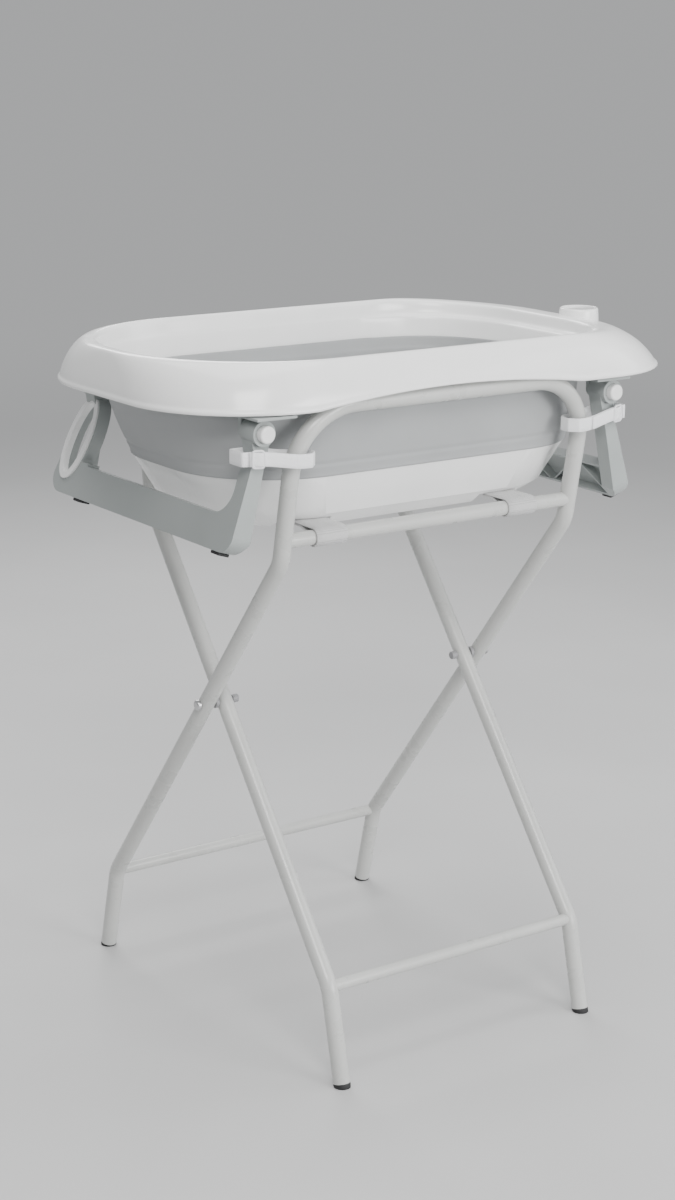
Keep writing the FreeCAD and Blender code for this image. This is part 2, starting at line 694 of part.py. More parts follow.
def leg_pads():
    """Black rubber pads under the two ends of a leg."""
    x = -HINGE_X
    low = HINGE_Z - LEG_LENGTH
    pads = []
    for sign in (-1, 1):
        y = sign * (ARM_OUT_Y - LEG_CORNER_R - PAD_LENGTH / 2)
        pads.append(box(x + 1, x + LEG_DEPTH - 1, y - PAD_LENGTH / 2, y + PAD_LENGTH / 2,
                        low - PAD_T, low))
    return pads


def build_legs():
    for word, side in SIDES.items():
        save(leg_place(leg_solid(side < 0), side), "end_leg_" + word)
        save(Part.makeCompound([leg_place(p, side) for p in leg_pads()]), "leg_rubber_pads_" + word)
    save(leg_place(hanging_ring(), -1), "hanging_hole_ring")


# ---- hinges and buttons, drawn at the left front corner ----
def corner_place(shape, side, depth):
    """Move a piece drawn at the left front corner to another corner."""
    placed = shape if side < 0 else mirror_x(shape)
    return placed if depth < 0 else mirror_y(placed)


def hinge_bracket():
    """Lug inside the arm, under a flange that is fixed to a post inside the rim."""
    x = -HINGE_X
    inner = -LUG_Y + LUG_T
    wing_y = -(ARM_OUT_Y + LUG_GAP)
    top = FLANGE_Z + FLANGE_T
    lug = box(x - LUG_HALF, x + LUG_HALF, -LUG_Y, inner, HINGE_Z, FLANGE_Z)
    eye = rod(Vector(x, -LUG_Y, HINGE_Z), Vector(x, inner, HINGE_Z), LUG_HALF)
    flange = box(x - LUG_HALF - FLANGE_LIP, x + LUG_HALF, -FLANGE_OUT_Y, -FLANGE_IN_Y, FLANGE_Z, top)
    wing = box(x, x + LUG_HALF + FLANGE_WING, -FLANGE_OUT_Y, wing_y, FLANGE_Z, top)
    bore = rod(Vector(x, -LUG_Y - 1, HINGE_Z), Vector(x, inner + 1, HINGE_Z), PIN_R)
    return lug.fuse([eye, flange, wing]).cut(bore).removeSplitter()


def hinge_pin():
    start = Vector(-HINGE_X, -LUG_Y + LUG_T, HINGE_Z)
    end = Vector(-HINGE_X, -(BUTTON_WELL_Y - 1), HINGE_Z)
    return rod(start, end, PIN_R)


def button_cap():
    outer = -(ARM_OUT_Y + COLLAR_T + BUTTON_PROUD)
    start = Vector(-HINGE_X, outer + BUTTON_T + BUTTON_PROUD, HINGE_Z)
    end = Vector(-HINGE_X, outer, HINGE_Z)
    cap = rod(start, end, BUTTON_R)
    rim = [e for e in cap.Edges if abs(e.CenterOfMass.y - outer) < 0.1]
    return cap.makeFillet(BUTTON_ROUND, rim)


def coil_path(radius, pitch, turns):
    """Arcs through points of a helix that rises along +Z."""
    steps = 2 * COIL_ARCS
    step = 2 * math.pi / steps
    points = []
    for i in range(steps * turns + 1):
        points.append(Vector(radius * math.cos(i * step), radius * math.sin(i * step),
                             pitch * i / steps))
    arcs = []
    for first, middle, last in zip(points[::2], points[1::2], points[2::2]):
        arcs.append(Part.Arc(first, middle, last).toShape())
    return Part.Wire(arcs)


def button_spring():
    """Round wire coil between the arm's bore and the button, with turns clear of both."""
    clear = SPRING_WIRE_R + 0.2
    pitch = (SPRING_ROOM - 2 * clear) / SPRING_TURNS
    rise = Vector(0, 1, pitch / (2 * math.pi * SPRING_R))
    ring = Part.Wire([Part.makeCircle(SPRING_WIRE_R, Vector(SPRING_R, 0, 0), rise)])
    coil = coil_path(SPRING_R, pitch, SPRING_TURNS).makePipeShell([ring], True, True, 1)
    coil.rotate(Vector(0, 0, 0), X_AXIS, 90)
    coil.translate(Vector(-HINGE_X, -BUTTON_WELL_Y - clear, HINGE_Z))
    return coil


def build_hinges():
    pins = []
    for word, side in SIDES.items():
        for end, depth in CORNERS.items():
            name = word + "_" + end
            save(corner_place(hinge_bracket(), side, depth), "hinge_bracket_" + name)
            save(corner_place(button_cap(), side, depth), "release_button_" + name)
            save(corner_place(button_spring(), side, depth), "button_spring_" + name)
            pins.append(corner_place(hinge_pin(), side, depth))
    save(Part.makeCompound(pins), "hinge_pins")


# ---- ties ----
def bend_shift(z):
    """How far the bow has already bent inwards at a height."""
    rise = max(0.0, z - (TOP_Z - TOP_BEND_R))
    return TOP_BEND_R - math.sqrt(TOP_BEND_R ** 2 - rise ** 2)


def tie_hull(half_span, z):
    """Points round the arm and the stand's tube, as one loop of webbing would lie."""
    drop = HINGE_Z - z
    lean = math.tan(math.radians(LEG_SPLAY))
    arm_x = -HINGE_X - drop * lean
    tube_x = -half_span + bend_shift(z)
    inner_x = -half_span + bend_shift(z + TIE_WIDTH / 2)
    tube_y = -upright_y(z)
    reach = TUBE_R + TIE_SLACK
    facet = reach * math.tan(math.pi / 8)
    return [
        Vector(arm_x - BOSS_R, -ARM_OUT_Y, z),
        Vector(tube_x - facet, tube_y - reach, z),
        Vector(inner_x + facet, tube_y - reach, z),
        Vector(inner_x + reach, tube_y - facet, z),
        Vector(inner_x + reach, tube_y + facet, z),
        Vector(inner_x + facet, tube_y + reach, z),
        Vector(arm_x + BOSS_R + TIE_SLACK, -ARM_OUT_Y + ARM_W, z),
        Vector(arm_x - BOSS_R, -ARM_OUT_Y + ARM_W, z),
    ]


def tie(half_span):
    low = TIE_Z - TIE_WIDTH / 2
    points = [Vector(p.x, p.y, low) for p in tie_hull(half_span, TIE_Z)]
    core = Part.Face(Part.makePolygon(points + points[:1]))
    outer = core.makeOffset2D(TIE_GAP + TIE_T)
    inner = core.makeOffset2D(TIE_GAP)
    return outer.extrude(Z_AXIS * TIE_WIDTH).cut(inner.extrude(Z_AXIS * TIE_WIDTH))


def buckle(half_span):
    """Slotted slider on the front of the tie, over the arm."""
    first, second = tie_hull(half_span, TIE_Z)[:2]
    along = (second - first).normalize()
    turn = math.degrees(math.atan2(along.y, along.x))
    face = TIE_GAP + TIE_T + BUCKLE_GAP
    end = BUCKLE_ALONG + BUCKLE_W
    frame = box(BUCKLE_ALONG, end, -face - BUCKLE_T, -face, -BUCKLE_H / 2, BUCKLE_H / 2)
    slots = []
    for start in (BUCKLE_ALONG + BUCKLE_BAR, end - BUCKLE_BAR - BUCKLE_SLOT):
        slots.append(box(start, start + BUCKLE_SLOT, -face - 2 * BUCKLE_T, 0,
                         -TIE_WIDTH / 2, TIE_WIDTH / 2))
    frame = frame.cut(slots)
    frame.rotate(Vector(0, 0, 0), Z_AXIS, turn)
    frame.translate(first)
    return frame


def build_ties():
    """The front arms are tied to the uprights of the front-topped frame."""
    for word, side in SIDES.items():
        save(corner_place(tie(HALF_SPAN_A), side, -1), "tie_" + word)
        save(corner_place(buckle(HALF_SPAN_A), side, -1), "tie_buckle_" + word)


def main():
    os.makedirs("parts", exist_ok=True)
    build_frame("a", HALF_SPAN_A, -1)
    build_frame("b", HALF_SPAN_B, 1)
    build_pivots()
    for word, x in zip(SIDES, WEB_X):
        save(webbing(x), "webbing_" + word)
    build_rim()
    build_band()
    build_pan()
    build_drain_plug()
    build_legs()
    build_hinges()
    build_ties()


main()
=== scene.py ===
"""Collapsible baby bath strapped on a folding X stand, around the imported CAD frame."""
import json
import math

import bmesh
import bpy
from mathutils import Matrix, Vector


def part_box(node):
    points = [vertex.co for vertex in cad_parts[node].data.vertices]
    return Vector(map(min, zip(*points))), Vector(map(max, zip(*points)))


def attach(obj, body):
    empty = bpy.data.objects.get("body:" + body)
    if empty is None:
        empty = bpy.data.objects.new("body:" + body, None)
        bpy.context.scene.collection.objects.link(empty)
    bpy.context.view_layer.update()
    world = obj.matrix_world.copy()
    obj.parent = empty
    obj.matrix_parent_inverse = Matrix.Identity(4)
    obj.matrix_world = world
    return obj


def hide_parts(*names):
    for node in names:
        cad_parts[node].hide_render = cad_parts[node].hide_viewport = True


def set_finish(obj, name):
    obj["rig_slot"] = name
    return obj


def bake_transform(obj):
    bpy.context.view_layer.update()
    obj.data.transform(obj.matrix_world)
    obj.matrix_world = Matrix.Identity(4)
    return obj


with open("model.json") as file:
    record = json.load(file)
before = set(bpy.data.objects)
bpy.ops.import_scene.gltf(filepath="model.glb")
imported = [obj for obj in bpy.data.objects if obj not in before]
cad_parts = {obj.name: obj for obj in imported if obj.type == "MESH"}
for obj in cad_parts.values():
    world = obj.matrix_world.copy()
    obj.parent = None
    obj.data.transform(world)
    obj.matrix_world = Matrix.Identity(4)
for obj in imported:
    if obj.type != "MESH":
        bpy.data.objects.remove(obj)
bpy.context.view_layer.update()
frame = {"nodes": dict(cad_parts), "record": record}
nodes = frame["nodes"]
MM = 0.001

# ---- sizes the visual pieces share with the CAD model, in millimetres ----
# X is counted from the middle of the stand, as in the CAD design.
bow_low, bow_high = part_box("frame_a_top_bow")
MID_X = 500.0 * (bow_low[0] + bow_high[0])
RIM_X = (-372.0, 412.0)
RIM_HALF_Y = 229.5
CREST_X = (-363.0, 356.0)
CREST_HALF_Y = 206.0
RIM_LOW = 857.0
RIM_TOP = 915.0
MOUTH_X = (-342.0, 322.0)
MOUTH_HALF_Y = 198.0
WALL_LOW = 862.0
SEAM_X = (-290.0, 298.0)
SEAM_HALF_Y = 172.0
SEAM_Z = 764.0
BAND_T = 2.5
CUP_PLACE = (370.0, -24.0)
CUP_R = 27.0
CUP_TOP = 917.0
ARCH_HALF = 205.0
ARCH_RISE = 15.0
RAIL_Z = 693.0
RAIL_R = 9.5
RAIL_Y = 181.84
WEB_X = (-160.0, 140.0)
WEB_WIDTH = 46.0
WEB_T = 1.9
WEB_GAP = 0.7              # webbing clear of the rail
WEB_STEP = 6.0
WRAP_TURN = 200.0          # degrees that the webbing runs round a rail
WRAP_STEPS = 18
SEWN_GAP = 0.3
SEWN_END = ((17.0, 4.2), (24.0, 0.8), (29.0, 0.0), (44.0, 0.0))  # distance from the rail, drop
TIE_WIDTH = 17.5
TIE_T = 1.7

# ---- how finely the lofted outlines are drawn ----
CORNER_STEPS = 22
SIDE_STEPS = 46
END_STEPS = 12


def smooth_step(low, high, value):
    t = min(1.0, max(0.0, (value - low) / (high - low)))
    return t * t * (3 - 2 * t)


# ---- materials ----
def node_material(name):
    """A new material with its shader and the object's own coordinates."""
    material = bpy.data.materials.new(name)
    material.use_nodes = True
    tree = material.node_tree
    shader = tree.nodes["Principled BSDF"]
    coords = tree.nodes.new("ShaderNodeTexCoord")
    return material, tree, shader, coords.outputs["Object"]


def noise(tree, coords, scale, detail=3.0, rough=0.55, stretch=None):
    source = coords
    if stretch:
        mapping = tree.nodes.new("ShaderNodeMapping")
        mapping.inputs["Scale"].default_value = stretch
        tree.links.new(coords, mapping.inputs["Vector"])
        source = mapping.outputs["Vector"]
    texture = tree.nodes.new("ShaderNodeTexNoise")
    texture.inputs["Scale"].default_value = scale
    texture.inputs["Detail"].default_value = detail
    texture.inputs["Roughness"].default_value = rough
    tree.links.new(source, texture.inputs["Vector"])
    return texture.outputs["Fac"]


def between(tree, factor, low, high):
    """Maps a factor onto a range of values."""
    node = tree.nodes.new("ShaderNodeMapRange")
    node.inputs["From Min"].default_value = 0.3
    node.inputs["From Max"].default_value = 0.7
    node.inputs["To Min"].default_value = low
    node.inputs["To Max"].default_value = high
    tree.links.new(factor, node.inputs["Value"])
    return node.outputs["Result"]


def tint(tree, factor, dark, light):
    ramp = tree.nodes.new("ShaderNodeValToRGB")
    ramp.color_ramp.elements[0].position = 0.3
    ramp.color_ramp.elements[1].position = 0.7
    ramp.color_ramp.elements[0].color = (*dark, 1)
    ramp.color_ramp.elements[1].color = (*light, 1)
    tree.links.new(factor, ramp.inputs["Fac"])
    return ramp.outputs["Color"]


def bump(tree, shader, height, distance, strength=1.0):
    node = tree.nodes.new("ShaderNodeBump")
    node.inputs["Distance"].default_value = distance
    node.inputs["Strength"].default_value = strength
    tree.links.new(height, node.inputs["Height"])
    tree.links.new(node.outputs["Normal"], shader.inputs["Normal"])


def total(tree, first, second, weight):
    """first + weight * second"""
    node = tree.nodes.new("ShaderNodeMath")
    node.operation = "MULTIPLY_ADD"
    node.inputs[1].default_value = weight
    tree.links.new(second, node.inputs[0])
    tree.links.new(first, node.inputs[2])
    return node.outputs["Value"]


def moulded(name, dark, light, rough_low, rough_high, grain, depth, coat=0.0):
    """Moulded or painted surface: slow colour drift, uneven gloss and a fine grain."""
    material, tree, shader, coords = node_material(name)
    drift = noise(tree, coords, 7.0, 4.0)
    tree.links.new(tint(tree, drift, dark, light), shader.inputs["Base Color"])
    smudge = noise(tree, coords, 28.0, 5.0, 0.6)
    tree.links.new(between(tree, smudge, rough_low, rough_high), shader.inputs["Roughness"])
    fine = noise(tree, coords, grain, 2.0)
    broad = noise(tree, coords, 22.0, 2.0)
    bump(tree, shader, total(tree, fine, broad, 1.5), depth)
    shader.inputs["Coat Weight"].default_value = coat
    shader.inputs["Coat Roughness"].default_value = 0.12
    return material


def steel(name):
    material, tree, shader, coords = node_material(name)
    drift = noise(tree, coords, 60.0, 3.0)
    tree.links.new(tint(tree, drift, (0.50, 0.50, 0.51), (0.66, 0.66, 0.67)), shader.inputs["Base Color"])
    lines = noise(tree, coords, 900.0, 2.0, 0.5, (1.0, 0.06, 1.0))
    tree.links.new(between(tree, lines, 0.24, 0.42), shader.inputs["Roughness"])
    bump(tree, shader, lines, 0.00004)
    shader.inputs["Metallic"].default_value = 1.0
    return material


def stripes(tree, coords, axis, pitch):
    """Sine stripes across one axis, a given distance apart."""
    texture = tree.nodes.new("ShaderNodeTexWave")
    texture.bands_direction = axis
    texture.inputs["Scale"].default_value = 2 * math.pi / (20 * pitch)
    texture.inputs["Distortion"].default_value = 0.6
    texture.inputs["Detail"].default_value = 1.0
    tree.links.new(coords, texture.inputs["Vector"])
    return texture.outputs["Fac"]


def woven(name, dark, light, first_axis, second_axis, pitch, depth):
    """Flat woven tape: warp and weft ridges, with fibre noise on top."""
    material, tree, shader, coords = node_material(name)
    warp = stripes(tree, coords, first_axis, pitch)
    weft = stripes(tree, coords, second_axis, pitch * 1.3)
    weave = tree.nodes.new("ShaderNodeMath")
    weave.operation = "MULTIPLY"
    tree.links.new(warp, weave.inputs[0])
    tree.links.new(weft, weave.inputs[1])
    fibre = noise(tree, coords, 1800.0, 3.0, 0.7)
    height = total(tree, weave.outputs["Value"], fibre, 0.6)
    tree.links.new(tint(tree, height, dark, light), shader.inputs["Base Color"])
    soil = noise(tree, coords, 35.0, 3.0)
    tree.links.new(between(tree, soil, 0.78, 0.92), shader.inputs["Roughness"])
    bump(tree, shader, height, depth)
    shader.inputs["Sheen Weight"].default_value = 0.35
    shader.inputs["Sheen Roughness"].default_value = 0.5
    return material


def fuzzy(name, dark, light):
    """Loop side of hook and loop tape."""
    material, tree, shader, coords = node_material(name)
    loops = noise(tree, coords, 900.0, 5.0, 0.75)
    rows = stripes(tree, coords, "Z", 0.0017)
    height = total(tree, loops, rows, 0.25)
    tree.links.new(tint(tree, height, dark, light), shader.inputs["Base Color"])
    patch = noise(tree, coords, 60.0, 3.0)
    tree.links.new(between(tree, patch, 0.82, 0.97), shader.inputs["Roughness"])
    bump(tree, shader, height, 0.0007)
    shader.inputs["Sheen Weight"].default_value = 0.6
    shader.inputs["Sheen Roughness"].default_value = 0.4
    return material


MATERIALS = {
    "painted_tube": moulded("painted_tube", (0.50, 0.505, 0.49), (0.55, 0.555, 0.54),
                            0.24, 0.36, 700.0, 0.00006, 0.25),
    "white_gloss": moulded("white_gloss", (0.85, 0.855, 0.85), (0.90, 0.90, 0.895),
                           0.16, 0.27, 420.0, 0.00003, 0.2),
    "soft_grey": moulded("soft_grey", (0.32, 0.33, 0.335), (0.37, 0.38, 0.385),
                         0.46, 0.60, 1500.0, 0.00005),
    "grey_plastic": moulded("grey_plastic", (0.32, 0.345, 0.34), (0.36, 0.385, 0.38),
                            0.30, 0.42, 1100.0, 0.00004, 0.1),
    "grey_moulding": moulded("grey_moulding", (0.25, 0.25, 0.26), (0.30, 0.30, 0.31),
                             0.38, 0.52, 1300.0, 0.00005),
    "black_rubber": moulded("black_rubber", (0.012, 0.012, 0.013), (0.024, 0.024, 0.026),
                            0.55, 0.75, 1600.0, 0.0001),
    "buckle_plastic": moulded("buckle_plastic", (0.74, 0.74, 0.76), (0.80, 0.80, 0.82),
                              0.22, 0.34, 900.0, 0.00003, 0.15),
    "bright_steel": steel("bright_steel"),
    "webbing_cloth": woven("webbing_cloth", (0.42, 0.42, 0.42), (0.66, 0.66, 0.66),
                           "X", "Y", 0.0013, 0.00035),
    "tie_cloth": fuzzy("tie_cloth", (0.86, 0.87, 0.89), (0.95, 0.955, 0.97)),
}


# ---- mesh helpers ----
def new_piece(name, points, faces, slot, smooth=True):
    mesh = bpy.data.meshes.new(name)
    mesh.from_pydata([Vector((p[0] + MID_X, p[1], p[2])) * MM for p in points], [], faces)
    mesh.validate()
    mesh.update()
    piece = bpy.data.objects.new(name, mesh)
    bpy.context.scene.collection.objects.link(piece)
    mesh.materials.append(MATERIALS[slot])
    if smooth:
        mesh.shade_smooth()
    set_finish(piece, slot)
    return piece


def tidy_normals(piece):
    bm = bmesh.new()
    bm.from_mesh(piece.data)
    bmesh.ops.remove_doubles(bm, verts=bm.verts, dist=0.000005)
    bmesh.ops.recalc_face_normals(bm, faces=bm.faces)
    bm.to_mesh(piece.data)
    bm.free()
    piece.data.shade_smooth()


def subdivide(piece, levels=1):
    modifier = piece.modifiers.new("smooth", "SUBSURF")
    modifier.levels = levels
    modifier.render_levels = levels


def loft(name, rings, slot, closed=True, caps=False):
    """Quads through rings of equal length; closed joins the last ring to the first."""
    count = len(rings[0])
    points = [p for ring in rings for p in ring]
    faces = []
    spans = len(rings) if closed else len(rings) - 1
    for i in range(spans):
        a, b = i * count, ((i + 1) % len(rings)) * count
        for j in range(count):
            k = (j + 1) % count
            faces.append((a + j, a + k, b + k, b + j))
    if caps:
        faces.append(tuple(range(count)))
        faces.append(tuple(range(len(points) - count, len(points))))
    piece = new_piece(name, points, faces, slot)
    tidy_normals(piece)
    return piece


def outline(ends, half_y, left_r, right_r, z):
    """Rounded rectangle as points, with its own corner radius at each end."""
    low, high = ends
    left_r = min(left_r, half_y - 1.0)
    right_r = min(right_r, half_y - 1.0)
    corners = [
        (high - right_r, right_r - half_y, right_r, -90),
        (high - right_r, half_y - right_r, right_r, 0),
        (low + left_r, half_y - left_r, left_r, 90),
        (low + left_r, left_r - half_y, left_r, 180),
    ]
    steps = (END_STEPS, SIDE_STEPS, END_STEPS, SIDE_STEPS)
    points = []
    for (cx, cy, r, start), after, count in zip(corners, corners[1:] + corners[:1], steps):
        for i in range(CORNER_STEPS + 1):
            a = math.radians(start + 90 * i / CORNER_STEPS)
            points.append(Vector((cx + r * math.cos(a), cy + r * math.sin(a), z)))
        a = math.radians(after[3])
        goal = Vector((after[0] + after[2] * math.cos(a), after[1] + after[2] * math.sin(a), z))
        here = points[-1].copy()
        for i in range(1, count):
            points.append(here.lerp(goal, i / count))
    return points


def mix(first, second, share):
    return first + (second - first) * share


def between_outlines(first, second, share, grow, z):
    """Outline between two, each given as (X ends, half width, left and right corner radii)."""
    ends = (mix(first[0][0], second[0][0], share) - grow, mix(first[0][1], second[0][1], share) + grow)
    half, left, right = (mix(first[i], second[i], share) for i in (1, 2, 3))
    return outline(ends, half + grow, left, right, z)


def lathe(name, profile, centre, slot, steps):
    """Turns a closed profile of (radius, height) round an upright axis."""
    rings = []
    for r, h in profile:
        ring = []
        for i in range(steps):
            a = 2 * math.pi * i / steps
            ring.append(Vector(centre) + Vector((r * math.cos(a), r * math.sin(a), h)))
        rings.append(ring)
    return loft(name, rings, slot)


# ---- bath rim ----
SKIRT = (RIM_X, RIM_HALF_Y, 158.0, 145.0)
CREST = (CREST_X, CREST_HALF_Y, 196.0, 150.0)
MOUTH = (MOUTH_X, MOUTH_HALF_Y, 184.0, 146.0)
WALL_FOOT = ((MOUTH_X[0] + 5.0, MOUTH_X[1] - 5.0), MOUTH_HALF_Y - 5.0, 179.0, 142.0)
SEAM = (SEAM_X, SEAM_HALF_Y, 136.0, 134.0)


def ledge(x):
    """How far the inner wall steps in, near the shelf end."""
    return 7.0 * smooth_step(150, 186, x) + 5.0 * smooth_step(240, 318, x)


def step_in(p, amount):
    """Moves a point of an inner outline inward, square to the wall."""
    inward = Vector((-p.x * 0.35, -p.y, 0)).normalized()
    inward = inward.lerp(Vector((-1, 0, 0)), smooth_step(284, 312, p.x)).normalized()
    return p + inward * amount


def rim_shape(p):
    """Arch over the stand's bars and the dip towards the shelf."""
    height = (p.z - RIM_LOW) / (RIM_TOP - RIM_LOW)
    z = p.z - 9.0 * smooth_step(190, 398, p.x) * max(0.0, height)
    low = max(0.0, 1 - (p.z - RIM_LOW) / 34.0)
    if abs(p.y) > CREST_HALF_Y:
        z += ARCH_RISE * max(0.0, 1 - (p.x / ARCH_HALF) ** 2) * low
    return Vector((p.x, p.y, z))


def rim_rings():
    skirt = [  # share of the way from the skirt's edge to the crest, growth, height
        (0.0, -2.8, 857.6), (0.0, -1.0, 857.0), (0.0, 0.4, 858.0), (0.0, 0.7, 860.4), (0.01, 0.1, 862.8),
        (0.03, -0.7, 864.4), (0.06, -0.5, 867.0), (0.12, 0.0, 872.0), (0.25, 0.0, 883.0),
        (0.43, 0.0, 894.5), (0.62, 0.0, 903.0), (0.80, 0.0, 909.2), (0.94, 0.0, 912.9),
        (1.03, -1.0, 914.6), (1.06, -4.0, 915.0),
    ]
    rings = []
    for share, grow, z in skirt:
        rings.append([rim_shape(p) for p in between_outlines(SKIRT, CREST, share, grow, z)])
    wall = [  # growth from the mouth's outline, height, share of the ledge
        (3.0, 914.4, 0.0), (0.6, 912.0, 0.0), (-0.4, 906.0, 0.0), (-1.4, 897.5, 0.0),
        (-2.2, 894.3, 0.12), (-2.6, 893.0, 0.55), (-3.0, 892.2, 0.9), (-3.4, 890.0, 1.0),
        (-4.2, 880.0, 1.0), (-5.6, 866.0, 1.0), (-6.0, 862.4, 1.0), (-4.6, 861.8, 1.0),
        (-3.2, 862.4, 1.0), (-2.4, 868.0, 1.0), (-1.0, 884.0, 0.8), (3.2, 900.0, 0.0),
        (4.2, 908.0, 0.0),
    ]
    for grow, z, share in wall:
        ring = between_outlines(MOUTH, MOUTH, 0.0, grow, z)
        rings.append([rim_shape(step_in(p, ledge(p.x) * share)) for p in ring])
    for share, z in ((0.98, 911.0), (0.8, 905.5), (0.6, 898.5), (0.25, 879.0), (0.05, 863.0)):
        ring = between_outlines(SKIRT, CREST, share, -3.0, z)
        rings.append([rim_shape(p) for p in ring])
    return rings


def make_rim():
    rim = loft("rim_shell", rim_rings(), "white_gloss")
    subdivide(rim)
    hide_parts("bath_rim")
    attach(rim, "bath")
    profile = [
        (CUP_R + 1.6, 868), (CUP_R + 1.2, 885), (CUP_R + 0.7, 900), (CUP_R + 0.2, 910),
        (CUP_R - 0.2, 914.6), (CUP_R - 1.0, 916.4), (CUP_R - 2.2, CUP_TOP), (CUP_R - 3.3, 916.5),
        (CUP_R - 3.9, 915.2), (CUP_R - 3.9, 910.0), (CUP_R - 4.3, 908.6), (4, 908.4), (4, 903),
        (CUP_R - 3, 868),
    ]
    cup = lathe("shelf_cup", profile, (*CUP_PLACE, 0), "white_gloss", 72)
    subdivide(cup)
    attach(cup, "bath")


# ---- soft band ----
def band_ring(t, offset):
    """Outline of the band, from the rim at 0 to the pan at 1, moved outward by an offset."""
    z = mix(WALL_LOW + 1.5, SEAM_Z, t)
    ring = between_outlines(WALL_FOOT, SEAM, t, offset, z)
    return [step_in(p, ledge(p.x) * (1 - t)) for p in ring]


def band_swell(t):
    """Slight belly, a fold groove just above the seam, and a rolled lower edge."""
    z = mix(WALL_LOW + 1.5, SEAM_Z, t)
    groove = -1.3 * math.exp(-((z - (SEAM_Z + 17)) / 1.9) ** 2)
    upper = -0.7 * math.exp(-((z - (WALL_LOW - 16)) / 2.2) ** 2)
    roll = 1.0 * math.exp(-((z - SEAM_Z) / 2.4) ** 2)
    return 2.2 * math.sin(math.pi * t) + groove + upper + roll


def make_band():
    steps = 44
    outer = []
    inner = []
    for i in range(steps + 1):
        t = i / steps
        outer.append(band_ring(t, band_swell(t)))
        inner.append(band_ring(t, band_swell(t) - BAND_T))
    band = loft("collapsible_band", outer + inner[::-1], "soft_grey")
    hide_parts("soft_band")
    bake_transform(band)


# ---- flat tapes ----
def tape(name, path, across, width, thick, slot, closed=False):
    """Tape with rounded edges along a path; across is its width direction."""
    a, b = width / 2, thick / 2
    section = [(-a, -b * 0.4), (-a, b * 0.4), (-a + 0.5, b), (-a * 0.4, b), (a * 0.4, b), (a - 0.5, b),
               (a, b * 0.4), (a, -b * 0.4), (a - 0.5, -b), (a * 0.4, -b), (-a * 0.4, -b), (-a + 0.5, -b)]
    rings = []
    last = len(path) - 1
    for i, p in enumerate(path):
        before = path[i - 1] if closed or i > 0 else p
        after = path[(i + 1) % len(path)] if closed or i < last else p
        out = (after - before).cross(across).normalized()
        rings.append([p + across * s + out * h for s, h in section])
    return loft(name, rings, slot, closed, not closed)


def run_length(path, closed=False):
    pairs = list(zip(path, path[1:])) + ([(path[-1], path[0])] if closed else [])
    return sum((b - a).length for a, b in pairs)


def resample(path, step, closed=False):
    """Points about a step apart along a path."""
    points = []
    pairs = list(zip(path, path[1:])) + ([(path[-1], path[0])] if closed else [])
    for a, b in pairs:
        count = max(1, round((b - a).length / step))
        points += [a.lerp(b, i / count) for i in range(count)]
    return points if closed else points + [path[-1]]


def around(hull, gap, steps=6):
    """Closed path at a gap outside a convex hull that runs anticlockwise in plan."""
    path = []
    for before, here, after in zip(hull[-1:] + hull[:-1], hull, hull[1:] + hull[:1]):
        first = math.atan2(here.x - before.x, -(here.y - before.y)) + math.pi
        second = math.atan2(after.x - here.x, -(after.y - here.y)) + math.pi
        turn = (second - first) % (2 * math.pi)
        for i in range(steps + 1):
            a = first + turn * i / steps
            path.append(here + Vector((math.cos(a), math.sin(a), 0)) * gap)
    return path


def make_webbing(word, x):
    """Strap sewn round both support rails, drawn as two halves that meet in the middle."""
    lane = RAIL_R + WEB_GAP + WEB_T / 2
    for end, depth, frame_name in (("front", -1, "frame_a"), ("rear", 1, "frame_b")):
        path = [Vector((x, 0, RAIL_Z + lane))]
        for i in range(WRAP_STEPS + 1):
            a = math.radians(90 + WRAP_TURN * i / WRAP_STEPS)
            reach = RAIL_Y - lane * math.cos(a)
            path.append(Vector((x, depth * reach, RAIL_Z + lane * math.sin(a))))
        under = RAIL_Z + lane - WEB_T - SEWN_GAP
        for back, drop in SEWN_END:
            path.append(Vector((x, depth * (RAIL_Y - back), under - drop)))
        length = run_length(path)
        half = tape("strap_" + word + "_" + end, resample(path, WEB_STEP), Vector((1, 0, 0)),
                    WEB_WIDTH, WEB_T, "webbing_cloth")
        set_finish(half, "webbing_cloth")
        if depth < 0:
            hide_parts("webbing_" + word)
        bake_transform(half)


# ---- ties, drawn at the left side ----
ARM_X = -280.4             # middle of the arm at the tie
ARM_HALF = 15.5
ARM_ROOM = 3.0
ARM_Y = (-203.0, -180.0)
TUBE_X = (-219.5, -215.4)  # the upright leans, so the loop clears it at two places
TUBE_Y = -202.2
TUBE_REACH = 14.0
TUBE_FACET = 5.8
TIE_GAP = 2.9
TIE_STEP = 5.0
TAIL_NARROWER = 0.6
TAIL_STEP = 4.0
TAIL = ((6.0, 2.3), (11.0, 2.9), (16.0, 4.6), (20.0, 4.8), (26.0, 2.6), (31.0, 2.1), (68.0, 2.05))
SLIDER_ALONG = 17.0
SLIDER_OUT = 6.2
SLIDER_HALF = (7.4, 10.2)
SLIDER_CORNER_R = 3.6
SLIDER_CORNER_STEPS = 6
SLIDER_RIM = (1.5, 1.35)   # half width and half depth of its frame
SLIDER_BAR = (1.4, 1.0)
SLIDER_BAR_BACK = 1.9
SLIDER_BAR_HALF = 9.4
ROUND_STEPS = 10


